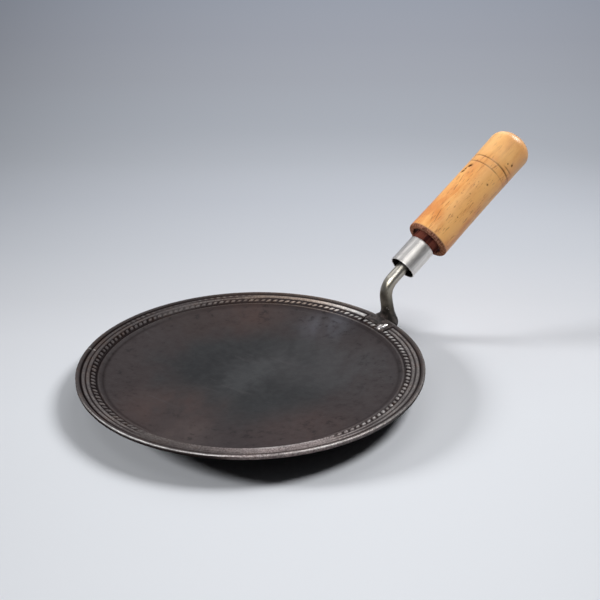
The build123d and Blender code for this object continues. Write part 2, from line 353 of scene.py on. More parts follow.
def rubbed(degrees):
    """How far the ridges and beads are worn away."""
    return np.clip(between(degrees, *worn_front) + 0.55 * between(degrees, *worn_back), 0, 1)


chance = np.random.default_rng(7)
bead_tallness = chance.uniform(0.75, 1.1, bead_count)
bead_length = chance.uniform(0.32, 0.42, bead_count)
bead_shift = chance.uniform(-0.06, 0.06, bead_count)
bead_offset = chance.uniform(-0.25, 0.25, bead_count)


def bead_height(radius, degrees):
    """Slanted bars of metal between the last two grooves, no two quite alike."""
    outer, inner = grooves[2], grooves[3]
    middle, half = (outer + inner) / 2, (outer - inner) / 2
    slant = -0.24 * (radius - middle) / half
    place = degrees * bead_count / 360 - slant
    number = np.floor(place).astype(int) % bead_count
    across = np.abs(place - np.floor(place) - 0.5 + bead_shift[number]) / bead_length[number]
    along = np.abs(radius - middle - bead_offset[number]) / half
    body = np.clip(1 - across ** 2.6, 0, 1) ** 0.6 * np.clip(1 - along ** 2.4, 0, 1) ** 0.6
    return 0.95 * bead_tallness[number] * body


def single_ridge(number, off, degrees):
    """One of the two cast ridges, wavy along its crest. The outer one is hammered at the back."""
    height = ridge_height * max(0.0, 1 - off ** 2.2) ** 0.8 * (1 + 0.14 * waver(degrees, 11, 10 + number))
    if number == 0:
        blows = between(degrees, *hammered) * (0.5 + 0.5 * np.sin(np.radians(degrees * bead_count)))
        height = height * (1 - 0.45 * blows)
    return height, soft_step(height, 0.62 * ridge_height, 0.97 * ridge_height)


def joined_ridge(radius):
    """The swell that the two ridges form where they run together."""
    off = abs(radius - joined_middle) / joined_half
    return ridge_height * max(0.0, 1 - off ** 3) ** 0.8, soft_step(1 - off, 0.12, 0.5)


def band_height(radius, degrees):
    """Height of a ridge or bead above the sloping band, and the share of it that is bare metal."""
    number = 0
    while radius < grooves[number + 1] and number < 2:
        number += 1
    outer, inner = grooves[number], grooves[number + 1]
    if number == 2:
        height = bead_height(radius, degrees) - 0.12
        return height, soft_step(height, 0.30, 0.75)
    height, bare = single_ridge(number, abs(2 * (outer - radius) / (outer - inner) - 1), degrees)
    joined = between(degrees, *run_together)
    wide, wide_bare = joined_ridge(radius)
    return height * (1 - joined) + wide * joined, bare * (1 - joined) + wide_bare * joined


def nick(radius, degrees):
    """A dent across the lip where the plate was once knocked."""
    if radius < nick_ends[0] or radius > nick_ends[1]:
        return 0 * degrees
    return np.exp(-((degrees - nick_place) / nick_half) ** 2)


def lip_surface(radius, degrees):
    """The top of the lip, and its slope down into the first groove."""
    crests, lip = round_the_rim(degrees, bare_crests), round_the_rim(degrees, bare_lip)
    black, darker = round_the_rim(degrees, soot_and_shade_round), between(degrees, *darker_grooves)
    top_end = lip_top_end + 0.15 * waver(degrees, 9, 3)
    dip = soft_step(top_end - radius, 0, top_end - grooves[0])
    crown = lip_crown_fall * ((radius - lip_crown) / 1.1) ** 2
    height = rim_height - crown - dip * (rim_height - groove_line(grooves[0]) - lip_crown_fall)
    height = np.minimum(height - 0.05 * np.abs(waver(degrees, 37, 4)), rim_height)
    edge_only = between(degrees, *painted_bright_edge)
    bare = lip * soft_step(radius, 123.1 + 0.7 * edge_only, 124.3 + 0.2 * edge_only)
    bare = bare + 0.18 * crests * (1 - dip)
    dent = nick(radius, degrees)
    soot_and_shade = black * soft_step(dip, 0.25 - 0.15 * darker, 0.9 - 0.3 * darker)
    return height - nick_depth * dent, np.maximum(bare, 0.5 * dent), soot_and_shade


def band_surface(radius, degrees):
    """The ridges and beads, rubbed flat in places, and the seat under the tongue."""
    wear, crests = rubbed(degrees), round_the_rim(degrees, bare_crests)
    black, darker = round_the_rim(degrees, soot_and_shade_round), between(degrees, *darker_grooves)
    ridge, bare = band_height(radius, degrees)
    flat = (0.42 + 0.10 * waver(degrees, 25, 30 + int(radius))) * soft_step(grooves[0] - radius, 0, 1)
    dent = nick(radius, degrees)
    height = groove_line(radius) + ridge * (1 - wear) + flat * wear - nick_depth * dent
    seat_end = seat_ends[1] if radius > seat_step else seat_bead_end
    under_tongue = between(degrees, seat_ends[0], seat_end, 0.6)
    height = height * (1 - under_tongue) + (groove_line(radius) - 0.25) * under_tongue

    worn_bare = (0.42 + 0.85 * (grooves[0] - radius) / 8) * soft_step(radius, 111.2, 111.9)
    if radius < grooves[2]:
        crests = crests + 0.35 * between(degrees, *bare_beads)
    bare = crests * (bare * (1 - wear) + worn_bare * wear)
    # The grooves are darkened as soot and painted shade, deeper over one stretch of the rim
    soot_and_shade = black * soft_step(-ridge, -(0.50 + 0.28 * darker) * ridge_height, 0.03 - 0.10 * darker) * (1 - wear)
    soot_and_shade = np.maximum(soot_and_shade, 0.9 * wear * math.exp(-((radius - 121.0) / 0.7) ** 2))
    soot_and_shade = np.maximum(soot_and_shade, 0.4 * between(degrees, *front_soot))
    soot_and_shade = np.maximum(soot_and_shade, between(degrees, *shade_by_tongue_end))
    return height, np.maximum(bare, 0.6 * dent), soot_and_shade


def gutter_surface(radius, degrees):
    """The shoulder, gutter and cove inside the beads, nearly worn away where the spatula comes over."""
    wear, crests = rubbed(degrees), round_the_rim(degrees, bare_crests)
    radii, heights = np.array(inner_line).T
    climb = max(0.0, (radius - worn_start) / (grooves[3] - worn_start))
    bared = floor_height(radius) + worn_rise * climb ** 1.6
    height = np.interp(radius, radii[::-1], heights[::-1]) * (1 - 0.8 * wear) + bared * 0.8 * wear
    shoulder = math.exp(-((radius - shoulder_radius) / 0.55) ** 2)
    # The gutter and cove are darkened as soot and painted shade of the step inside the beads, less so over
    # one stretch
    gutter = math.exp(-((radius - gutter_radius) / 0.55) ** 2) * (1 - 0.6 * between(degrees, *lighter_gutter))
    cove = 0.45 * math.exp(-((radius - cove_radius) / 1.2) ** 2)
    soot_and_shade = round_the_rim(degrees, soot_and_shade_round) * (gutter + cove) * (1 - wear)
    return height, 0.30 * crests * shoulder * (1 - wear), soot_and_shade


def top_surface(radius, degrees):
    """Height in mm of the plate's upper face at a radius, and its bare and sooty shares, which also hold
    painted highlight and painted shade, for an array of azimuths."""
    if radius >= grooves[0]:
        return lip_surface(radius, degrees)
    if radius >= grooves[3]:
        return band_surface(radius, degrees)
    if radius >= inner_line[-1][0]:
        return gutter_surface(radius, degrees)
    sag = 0.09 * waver(degrees, 3, 50) * soft_step(radius, 20, 90)
    return floor_height(radius) + sag, 0 * degrees, 0 * degrees


def faces_between(first, many, second, few):
    """Faces between two rings, given where each starts and how many points it has."""
    if few == 1:
        return [(first + i, first + (i + 1) % many, second) for i in range(many)]
    if many == 1:
        return [(first, second + i, second + (i + 1) % few) for i in range(few)]
    if many == few:
        return [(first + i, first + (i + 1) % many, second + (i + 1) % many, second + i)
                for i in range(many)]
    if many < few:
        first, many, second, few = second, few, first, many
    faces = []
    for i in range(few):
        a, b, c, d = first + 3 * i, first + 3 * i + 1, first + 3 * i + 2, first + (3 * i + 3) % many
        e, f = second + i, second + (i + 1) % few
        faces += [(a, b, e), (b, c, f, e), (c, d, f)]
    return faces


def skin(name, rings, marks=None):
    """Mesh through rings of points in mm. A ring may have as many points as the last, or three times
    or a third as many, or one. marks names a value per point, given as one array per ring."""
    counts = [len(ring) for ring in rings]
    starts = [sum(counts[:number]) for number in range(len(rings))]
    faces = []
    for number in range(len(rings) - 1):
        faces += faces_between(starts[number], counts[number], starts[number + 1], counts[number + 1])
    mesh = bpy.data.meshes.new(name)
    mesh.from_pydata((np.vstack(rings) * mm).tolist(), [], faces)
    for mark, values in (marks or {}).items():
        layer = mesh.attributes.new(mark, "FLOAT", "POINT")
        layer.data.foreach_set("value", np.concatenate(values).astype(np.float32))
    shell = bmesh.new()
    shell.from_mesh(mesh)
    bmesh.ops.recalc_face_normals(shell, faces=shell.faces)
    shell.to_mesh(mesh)
    shell.free()
    mesh.polygons.foreach_set("use_smooth", [True] * len(mesh.polygons))
    piece = bpy.data.objects.new(name, mesh)
    bpy.context.scene.collection.objects.link(piece)
    return piece


# Radii of the plate's rings, from below to the floor, and closest over the rim
base_rings = (18, 36, 46, base_radius - 0.8)
belly_rings = np.concatenate((base_radius + np.array((0.2, 1.5, 4)), np.linspace(58, 101, 14)))
slope_rings = np.linspace(belly_end, slope_end, 9)
rim_rings = np.concatenate((np.arange(124.05, 122.6, -0.35), np.arange(122.5, 102.4, -0.34)))
floor_rings, middle_rings = np.arange(100.8, 64, -1.9), np.arange(60, 4, -4.0)


def whole_turn(slices):
    """Angles of a ring's points."""
    return np.arange(slices) * 2 * math.pi / slices


def plate_rings():
    """Rings from the middle of the underside, round the lip, to the middle of the floor,
    with how bare and how sooty each point is, both marks holding painted highlight and painted shade too."""
    rings, marks = [], {"bare": [], "soot_and_shade": []}

    def add(radius, height, slices, bare=0.0, soot_and_shade=0.0):
        turns = whole_turn(slices)
        radius = radius + 0 * turns
        rings.append(np.column_stack((radius * np.cos(turns), radius * np.sin(turns), height + 0 * turns)))
        marks["bare"].append(0 * turns + bare)
        marks["soot_and_shade"].append(0 * turns + soot_and_shade)

    def azimuths(slices):
        degrees = np.arange(slices) * 360 / slices
        return np.where(degrees > 180, degrees - 360, degrees)

    small, middling = rim_slices // 9, rim_slices // 3
    # The underside and the lip's lower wall are fully sooty: soot, and painted shade of the shadowed
    # underside
    add(0, 0, 1, 0, 1)
    for radius in base_rings:
        add(radius, 0, small, 0.06, 0.6)
    add(base_radius - 0.2, base_chamfer, small, 0, 1)
    for radius in belly_rings:
        share = (radius - base_radius) / (belly_end - base_radius)
        slices = middling if radius > 60 else small
        height = belly_rise * share - belly_sag * share * (1 - share)
        height = height + 0.12 * waver(azimuths(slices), 7, 60) * min(1.0, (radius - base_radius) / 12)
        add(radius, np.maximum(height, 0.05), slices, 0, 1)
    for radius in slope_rings:
        rise = slope_rise * (radius - belly_end) / (plate_radius - belly_end)
        add(radius, belly_rise + rise, middling, 0, 1)
    degrees = azimuths(rim_slices)
    dents = 0.12 * np.abs(waver(degrees, 43, 70))
    add(lip_foot[0] - dents, lip_foot[1], rim_slices, 0, 1)
    lip, edge_only = round_the_rim(degrees, bare_lip), between(degrees, *painted_bright_edge)
    cleaned = np.maximum(1 - np.clip(2 * lip - 0.1, 0, 1), 0.9 * edge_only)
    for radius, height, bare, barer, soot_and_shade in lip_wall:
        bare = np.clip(bare * lip + barer * edge_only, 0, 1)
        add(radius - dents, height - 0.2 * nick(124.0, degrees), rim_slices, bare, soot_and_shade * cleaned)
    for radius in rim_rings:
        height, bare, soot_and_shade = top_surface(radius, degrees)
        add(radius, height, rim_slices, bare, soot_and_shade)
    for radius in floor_rings:
        add(radius, top_surface(radius, azimuths(middling))[0], middling)
    for radius in middle_rings:
        add(radius, top_surface(radius, azimuths(small))[0], small)
    add(0, floor_thickness, 1)
    return rings, marks


plate = skin("griddle_plate_cast", *plate_rings())


def start_material(name):
    """A material with a Principled shader, and where a point is on the object, in metres."""
    made = bpy.data.materials.new(name)
    made.use_nodes = True
    tree = made.node_tree
    tree.nodes.clear()
    shader = put(tree, "BsdfPrincipled")
    tree.links.new(shader.outputs[0], put(tree, "OutputMaterial").inputs["Surface"])
    return made, tree, shader, put(tree, "TexCoord").outputs["Object"]


def mark(tree, name):
    return put(tree, "Attribute", {"attribute_name": name}).outputs["Fac"]


def noise(tree, position, scale, detail=4.0, roughness=0.6, stretch=None, turn=(0.0, 0.0, 0.0)):
    """Noise of about 1/scale metres, turned and then stretched along its own axes."""
    if stretch:
        turned = put(tree, "Mapping", Vector=position, Rotation=turn).outputs[0]
        position = put(tree, "Mapping", Vector=turned, Scale=stretch).outputs[0]
    made = put(tree, "TexNoise", Vector=position, Scale=scale, Detail=detail, Roughness=roughness)
    return made.outputs["Fac"]


def mix_colours(tree, share, first, second):
    made = put(tree, "Mix", {"data_type": "RGBA"})
    for socket, value in ((made.inputs[0], share), (made.inputs[6], first), (made.inputs[7], second)):
        join(tree, (*value, 1) if isinstance(value, tuple) else value, socket)
    return made.outputs[2]


def tinted(tree, colour, *layers):
    """A colour with others laid over it in turn, each given as (share, colour)."""
    for share, tint in layers:
        colour = mix_colours(tree, share, colour, tint)
    return colour


def from_place(tree, position, place):
    """The way from a place on the object to each point."""
    off = put(tree, "VectorMath", {"operation": "SUBTRACT"}, Vector=position)
    off.inputs[1].default_value = place
    return off.outputs[0]


def near_place(tree, position, place, radius):
    """1 at a place on the object, falling to 0 at radius."""
    return spread(tree, length_of(tree, from_place(tree, position, place)), radius, 0.2 * radius)


def relief(tree, shader, strength, distance, *layers):
    """Bumps the shader with the sum of (height, share) layers."""
    total = 0.0
    for height, share in layers:
        total = plus(tree, total, times(tree, height, share))
    bump = put(tree, "Bump", Strength=strength, Distance=distance, Height=total)
    tree.links.new(bump.outputs[0], shader.inputs["Normal"])


# Stains on the floor, in metres: place, radius, colour, strength
floor_stains = (
    ((-0.076, -0.018, 0.01), 0.055, (0.042, 0.027, 0.025), 0.9),
    ((-0.088, -0.052, 0.01), 0.034, (0.054, 0.041, 0.039), 0.7),
    ((-0.018, -0.092, 0.01), 0.050, (0.036, 0.024, 0.023), 0.9),
    ((0.048, 0.088, 0.01), 0.050, (0.040, 0.024, 0.021), 0.9),
    ((0.006, 0.096, 0.01), 0.045, (0.026, 0.018, 0.017), 0.8),
    ((0.088, 0.024, 0.01), 0.034, (0.056, 0.055, 0.064), 0.95),
    ((0.066, -0.050, 0.008), 0.050, (0.034, 0.032, 0.034), 0.7),
    ((0.054, -0.016, 0.006), 0.062, (0.035, 0.034, 0.036), 0.85),
    ((-0.020, 0.030, 0.006), 0.040, (0.011, 0.0115, 0.013), 0.7),
)
# Where bare iron is tanned by heat, beyond the handle, and pinkish, over the front edge
tanned_place, tanned_reach = (0.085, 0.085, 0.015), 0.085
pinkish_place, pinkish_reach = (-0.055, -0.105, 0.015), 0.09


def oiled_iron(tree, position, reach, clouds, smears, mottle, grit, streaks):
    """The baked oil: burnt blue-grey over the burner, brown where it only browned, with a lighter
    middle that is painted sheen, stains, scratches and rust in the rim."""
    zone = plus(tree, reach, times(tree, minus(tree, clouds, 0.5), 0.09))
    browned = spread(tree, zone, 0.050, 0.088)
    oiled = mix_colours(tree, browned, (0.0166, 0.0171, 0.0184), (0.0260, 0.0200, 0.0205))
    oiled = mix_colours(tree, spread(tree, zone, 0.034, 0.008, 0.0, 0.75), oiled, (0.034, 0.035, 0.037))
    smeared = spread(tree, smears, 0.30, 0.62, 0.3, 1.0)
    for place, radius, colour, strength in floor_stains:
        share = times(tree, near_place(tree, position, place, radius), smeared)
        oiled = mix_colours(tree, times(tree, share, strength), oiled, colour)
    away_from_middle = spread(tree, reach, 0.045, 0.105)
    burnt = times(tree, spread(tree, mottle, 0.56, 0.68), spread(tree, away_from_middle, 0.2, 1.0, 0.0, 0.75))
    rusty = times(tree, spread(tree, reach, 0.108, 0.113), spread(tree, mottle, 0.48, 0.64, 0.0, 0.7))
    return tinted(
        tree, oiled,
        (burnt, (0.009, 0.0075, 0.008)),
        (spread(tree, streaks, 0.58, 0.76, 0.0, 0.45), (0.050, 0.047, 0.049)),
        (spread(tree, grit, 0.62, 0.75, 0.0, 0.30), (0.060, 0.054, 0.053)),
        (rusty, (0.036, 0.020, 0.015)),
    )


def worn_iron(tree, position, bare_mark, grit):
    """The metal that shows where the oil is rubbed off, near white on the barest points, which is partly a
    painted highlight on the lip's crest.
    """
    speckle = spread(tree, grit, 0.4, 0.65)
    worn = mix_colours(tree, speckle, (0.38, 0.355, 0.34), (0.66, 0.62, 0.60))
    pinkish = mix_colours(tree, spread(tree, grit, 0.38, 0.62), (0.36, 0.285, 0.275), (0.74, 0.64, 0.62))
    tanned = mix_colours(tree, speckle, (0.46, 0.35, 0.28), (0.66, 0.54, 0.45))
    return tinted(
        tree, worn,
        (near_place(tree, position, pinkish_place, pinkish_reach), pinkish),
        (spread(tree, bare_mark, 0.5, 0.8), (0.86, 0.84, 0.82)),
        (near_place(tree, position, tanned_place, tanned_reach), tanned),
    )


def seasoned_iron():
    made, tree, shader, position = start_material("seasoned_iron")
    bare_mark, soot_and_shade_mark = mark(tree, "bare"), mark(tree, "soot_and_shade")
    clouds = noise(tree, position, 20.0, 4.0)
    smears = noise(tree, position, 60.0, 5.0, 0.62, (1.0, 0.35, 1.0), (0, 0, 0.7))
    mottle = noise(tree, position, 150.0, 6.0, 0.65)
    grit = noise(tree, position, 900.0, 4.0)
    streaks = noise(tree, position, 110.0, 5.0, 0.7, (1.0, 0.14, 1.0), (0, 0, -0.35))
    reach = length_of(tree, position)

    bare = times(tree, bare_mark, spread(tree, mottle, 0.25, 0.60, 0.5, 1.0), clamp=True)
    bare = times(tree, bare, spread(tree, grit, 0.30, 0.60, 0.65, 1.1), clamp=True)
    # Bare metal and near-black soot follow the marks, with their painted highlight and painted shade
    colour = tinted(
        tree, oiled_iron(tree, position, reach, clouds, smears, mottle, grit, streaks),
        (bare, worn_iron(tree, position, bare_mark, grit)),
        (times(tree, soot_and_shade_mark, 0.92), (0.006, 0.004, 0.004)),
    )
    roughness = spread(tree, clouds, 0.3, 0.7, 0.52, 0.62)
    roughness = plus(tree, roughness, spread(tree, mottle, 0.3, 0.7, -0.06, 0.08))
    roughness = plus(tree, roughness, times(tree, soot_and_shade_mark, 0.3))
    fill(tree, shader, Base_Color=colour, Metallic=spread(tree, bare, 0.0, 0.6, 0.0, 0.7),
         Roughness=minus(tree, roughness, times(tree, bare, 0.22), clamp=True),
         Specular_IOR_Level=spread(tree, soot_and_shade_mark, 0.0, 1.0, 0.14, 0.02))

    pits = put(tree, "TexVoronoi", {"feature": "F1"}, Vector=position, Scale=300.0).outputs["Distance"]
    pits = times(tree, spread(tree, pits, 0.22, 0.05), spread(tree, clouds, 0.5, 0.62))
    pits = times(tree, pits, spread(tree, reach, 0.045, 0.105))
    relief(tree, shader, 0.4, 0.0005,
           (mottle, 0.4), (smears, 0.6), (grit, 0.15), (streaks, 0.4), (pits, -0.8))
    return made


plate.data.materials.append(seasoned_iron())
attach(plate, "root")
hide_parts("griddle_plate")


# Stem: a 10 mm steel rod, bent back at the elbow and forged out at its foot into
# a heel outside the lip and a flat tongue that lies across the ridges. The forging
# has left it dark below and brown with heat, and the rod above is polished by wear.
rod_radius = 5.0
stem_foot = np.array((130.0, 0.0, 18.0))
elbow = np.array((125.8, 0.0, 44.2))
elbow_radius = 14.0
handle_rise = math.radians(35.3)
handle_way = np.array((math.cos(handle_rise), 0.0, math.sin(handle_rise)))
handle_up = np.array((-handle_way[2], 0.0, handle_way[0]))
sideways = np.array((0.0, 1.0, 0.0))
mouth = elbow + 21.0 * handle_way
# How far the rod is drawn into the ferrule, and below the foot
rod_reach_in, foot_below = 9.0, 2.6
upright_rings, elbow_rings, handle_rings, stem_slices = 34, 22, 16, 72
flare_rise = 14.0
# The foot's outline from the rod's centre: degrees from the outer side, reach, and how late it flares
foot_outline = (
    (0, 6.0, 3.0), (30, 6.4, 5.0), (60, 7.6, 6.0), (90, 9.2, 6.0), (120, 11.5, 6.0), (150, 10.6, 5.5),
    (180, 10.2, 4.5), (210, 8.2, 3.2), (235, 10.4, 2.6), (252, 16.4, 2.4), (268, 12.4, 2.2), (285, 9.5, 2.2),
    (300, 7.6, 2.2), (330, 6.2, 2.6),
)
# The tongue: degrees from end to end and where it narrows, its radii, height above the ridges and round edge
tongue_start, tongue_end, tongue_narrows = -8.2, 5.2, (-3.6, -2.4)
tongue_outer, tongue_inner, tongue_height, tongue_edge = 122.4, 111.4, 0.90, 0.9


def rod_line():
    """Points and directions of the rod's centre line, from below the rim up into the ferrule."""
    rise_way = (elbow - stem_foot) / np.linalg.norm(elbow - stem_foot)
    turn = math.acos(rise_way @ handle_way)
    cut = elbow_radius * math.tan(turn / 2)
    start, end = elbow - cut * rise_way, elbow + cut * handle_way
    side = handle_way - (handle_way @ rise_way) * rise_way
    side = side / np.linalg.norm(side)
    upright = (start - stem_foot) @ rise_way
    steps = np.linspace(-foot_below, upright, upright_rings)
    line = [(stem_foot + rise_way * step, rise_way) for step in steps]
    for share in np.linspace(0, 1, elbow_rings)[1:]:
        angle = share * turn
        centre = start + elbow_radius * side
        point = centre + elbow_radius * (math.sin(angle) * rise_way - math.cos(angle) * side)
        line.append((point, math.cos(angle) * rise_way + math.sin(angle) * side))
    straight = (mouth + rod_reach_in * handle_way - end) @ handle_way
    steps = np.linspace(0, straight, handle_rings)[1:]
    line += [(end + handle_way * step, handle_way) for step in steps]
    return line


def round_ring(middle, reach, turns, first_way, second_way):
    """Points round a middle, at a reach for each turn from the first way towards the second."""
    return middle + np.outer(reach * np.cos(turns), first_way) + np.outer(reach * np.sin(turns), second_way)


def rim_section(turn, radii, heights):
    """Points of a section across the rim at an azimuth in degrees."""
    angle = math.radians(turn)
    return np.column_stack((radii * math.cos(angle), radii * math.sin(angle), heights))


def closed(rings):
    """The rings with a point at each end."""
    return [rings[0].mean(axis=0)[None, :]] + rings + [rings[-1].mean(axis=0)[None, :]]


def stem_rings():
    turns = whole_turn(stem_slices)
    around, reaches, lateness = zip(*foot_outline)
    reaches = np.interp(np.degrees(turns), around, reaches, period=360)
    lateness = np.interp(np.degrees(turns), around, lateness, period=360)
    rings = []
    for point, way in rod_line():
        outward = np.array((way[2], 0.0, -way[0]))
        height = (point - stem_foot)[2]
        share = min(1.0, max(0.0, height / flare_rise))
        growth = (1 - share) ** lateness
        reach = rod_radius + growth * (reaches - rod_radius)
        unevenness = 0.010 * np.sin(3 * turns + height * 0.4) + 0.006 * np.sin(5 * turns - height * 0.23)
        rings.append(round_ring(point, reach * (1 + unevenness), turns, outward, sideways))
    return closed(rings)


def tongue_rings():
    """The tongue as a bar lofted along the rim, from its right end to the open seam on its left."""
    rings = []
    across = np.linspace(0, 1, 22)
    for turn in np.linspace(tongue_start, tongue_end, 56):
        ends = min(turn - tongue_start, tongue_end - turn)
        rounding = 0.35 * max(0.0, 1 - ends / 0.35) ** 2
        left_part = soft_step(turn, *tongue_narrows)
        inner = tongue_inner + (seat_step - tongue_inner) * left_part + 0.10 * math.sin(turn * 1.9)
        radii = inner + (tongue_outer - inner) * across
        ripple = (0.10 + 0.12 * left_part) * np.cos((radii - 117.4) * 2 * math.pi / 3.2)
        edge = np.minimum(1, (radii - radii[0]) / tongue_edge)
        fall = tongue_edge * (1 - np.sqrt(1 - (1 - edge) ** 2)) + rounding
        top = groove_line(radii) + ridge_height + tongue_height + ripple - fall
        low = groove_line(radii) - 0.2
        radii, heights = np.concatenate((radii, radii[::-1])), np.concatenate((top, low[::-1]))
        rings.append(rim_section(turn, radii, heights))
    return closed(rings)


def as_one(name, *parts):
    """One object from the meshes of several, which are removed."""
    whole = bmesh.new()
    for part in parts:
        whole.from_mesh(part.data)
        bpy.data.objects.remove(part)
    mesh = bpy.data.meshes.new(name)
    whole.to_mesh(mesh)
    whole.free()
    piece = bpy.data.objects.new(name, mesh)
    bpy.context.scene.collection.objects.link(piece)
    return piece


def remesh(piece, voxel, smoothing):
    """Fuses the parts of a mesh and softens the corners between them."""
    bpy.context.view_layer.objects.active = piece
    fused = piece.modifiers.new("fused", "REMESH")
    fused.mode = "VOXEL"
    fused.voxel_size = voxel * mm
    fused.use_smooth_shade = True
    soft = piece.modifiers.new("soft", "SMOOTH")
    soft.factor = 0.5
    soft.iterations = smoothing
    baked = bpy.data.meshes.new_from_object(piece.evaluated_get(bpy.context.evaluated_depsgraph_get()))
    piece.modifiers.clear()
    piece.data = baked


stem = as_one("handle_stem_rod", skin("stem_rod", stem_rings()), skin("stem_tongue", tongue_rings()))
stem_voxel, stem_smoothing = 0.36, 6
remesh(stem, stem_voxel, stem_smoothing)

# Metal left dull on the elbow's outer side, towards the plate: place and reach
dull_place, dull_reach = (0.1195, 0.002, 0.044), 0.011


def forged_steel():
    """Bright and brown with heat up the rod, black scale on the heel and the tongue, with rubbed edges and
    painted shade where the metal faces down.
    """
    made, tree, shader, position = start_material("forged_steel")
    axes = put(tree, "SeparateXYZ", Vector=position)
    mottle = noise(tree, position, 210.0, 6.0, 0.65)
    blotch = noise(tree, position, 90.0, 4.0)
    grit = noise(tree, position, 1500.0, 3.0)
    lines = noise(tree, position, 2600.0, 2.0, 0.6, (0.05, 1, 1), (0, handle_rise, 0))
    lift = plus(tree, axes.outputs["Z"], times(tree, mottle, 0.010))
    polished = spread(tree, lift, 0.027, 0.050)
    surface = put(tree, "NewGeometry")
    facing_up = along_way(tree, surface.outputs["Normal"], (0.0, 0.0, 1.0))
    clean = mix_colours(tree, spread(tree, blotch, 0.35, 0.65), (0.58, 0.535, 0.44), (0.66, 0.63, 0.56))
    clean = tinted(
        tree, clean,
        (times(tree, spread(tree, lift, 0.060, 0.042), 0.75), (0.26, 0.23, 0.16)),
        # Painted shade: the clean metal is darker where it faces down
        (spread(tree, facing_up, 0.30, -0.30, 0.0, 0.8), (0.22, 0.195, 0.165)),
        (times(tree, near_place(tree, position, dull_place, dull_reach), 0.7), (0.24, 0.22, 0.19)),
    )
    on_rod = spread(tree, axes.outputs["X"], 0.1215, 0.1245)
    low = mix_colours(tree, on_rod, (0.026, 0.022, 0.021), (0.010, 0.0085, 0.0075))
    high = mix_colours(tree, on_rod, (0.085, 0.068, 0.064), (0.040, 0.032, 0.028))
    scale = mix_colours(tree, spread(tree, mottle, 0.42, 0.62), low, high)
    edges = spread(tree, surface.outputs["Pointiness"], 0.53, 0.60)
    rubbed_edges = times(tree, edges, spread(tree, grit, 0.35, 0.6, 0.3, 1.0))
    scale = mix_colours(tree, rubbed_edges, scale, (0.42, 0.38, 0.365))
    metal = calculate(tree, "MAXIMUM", polished, times(tree, rubbed_edges, 0.8))
    roughness = spread(tree, polished, 0.0, 1.0, 0.50, 0.33)
    roughness = plus(tree, roughness, spread(tree, mottle, 0.3, 0.7, -0.04, 0.06))
    fill(tree, shader, Base_Color=mix_colours(tree, polished, scale, clean), Roughness=roughness,
         Metallic=spread(tree, metal, 0.0, 1.0, 0.15, 1.0), Specular_IOR_Level=0.2)
    relief(tree, shader, 0.07, 0.0003, (mottle, 0.6), (lines, 0.05), (grit, 0.04))
    return made


stem.data.materials.append(forged_steel())
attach(stem, "root")
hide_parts("handle_stem")


# Tongue weld: a lump of weld at the tongue's right end, ground and rubbed bright,
# which ties the tongue to the beads and the ridges.
lump_turn = math.radians(-5.6)
lump_middle, lump_half, lump_width = 115.6, 5.8, 2.75
# It is ground nearly flat above this height
lump_ground = 18.6


def weld_lump_rings():
    """An egg shape lying across the rim, blunt towards the plate's middle."""
    rings = []
    turns = whole_turn(40)
    along = np.array((math.cos(lump_turn), math.sin(lump_turn), rim_fall / rim_width))
    along = along / np.linalg.norm(along)
    aside = np.array((-math.sin(lump_turn), math.cos(lump_turn), 0.0))
    upward = np.cross(along, aside)
    base = groove_line(lump_middle) + 0.5
    middle = np.array((lump_middle * math.cos(lump_turn), lump_middle * math.sin(lump_turn), base))
    for angle in np.linspace(0, math.pi, 31):
        reach = -math.cos(angle) * lump_half
        girth = math.sin(angle) ** 0.8 * lump_width * (1 - 0.055 * reach)
        girth = girth * (1 + 0.035 * np.sin(3 * turns + reach) + 0.02 * np.sin(5 * turns - 2 * reach))
        girth = np.maximum(girth, 0.01)
        ring = round_ring(middle + along * reach, girth, turns, aside, 0.95 * upward)
        ring[:, 2] -= 0.75 * np.maximum(0, ring[:, 2] - lump_ground)
        rings.append(ring)
    return rings


lump = skin("tongue_weld_lump", weld_lump_rings())


def weld_metal(name, bright, dark, polish):
    """Metal with small hollows, from bright on its high spots to dark."""
    made, tree, shader, position = start_material(name)
    mottle = noise(tree, position, 420.0, 5.0)
    grit = noise(tree, position, 1900.0, 3.0)
    fill(tree, shader, Base_Color=mix_colours(tree, spread(tree, mottle, 0.38, 0.6), bright, dark),
         Metallic=1.0, Roughness=spread(tree, mottle, 0.3, 0.7, polish, polish + 0.16))
    relief(tree, shader, 0.06, 0.0003, (mottle, 1.0), (grit, 0.1))
    return made


lump.data.materials.append(weld_metal("rubbed_weld", (0.86, 0.82, 0.80), (0.66, 0.60, 0.57), 0.24))
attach(lump, "root")
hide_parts("tongue_weld")


# Heel weld: a raw bead laid in the corner under the rim, between the plate and the
# heel of the stem, in overlapping ripples.
heel_weld_start, heel_weld_end = -4.35, 1.83
heel_weld_radius, heel_weld_height = 125.6, 14.35
heel_weld_size, heel_weld_ripples = 3.0, 9


def heel_weld_rings():
    rings = []
    turns = whole_turn(28)
    for share in np.linspace(0, 1, 65):
        turn = heel_weld_start + (heel_weld_end - heel_weld_start) * share
        swell = max(0.02, math.sin(math.pi * share)) ** 0.35
        size = heel_weld_size * swell * (0.96 + 0.07 * abs(math.sin(share * math.pi * heel_weld_ripples)))
        radius = heel_weld_radius + size * np.cos(turns) * 1.15
        height = heel_weld_height + size * np.sin(turns) * 0.72
        rings.append(rim_section(turn, radius, height))
    return closed(rings)


heel_bead = skin("heel_weld_bead", heel_weld_rings())
heel_bead.data.materials.append(weld_metal("raw_weld", (0.20, 0.18, 0.165), (0.09, 0.075, 0.07), 0.42))
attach(heel_bead, "root")
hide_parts("heel_weld")


# Ferrule: drawn steel tube, 22 mm across, pushed over the wooden spigot. Its mouth
# is open, so the rod shows going into the tube, whose inner wall is painted dark as painted shade.
ferrule_middle_radius = 10.5
ferrule_slices = 160
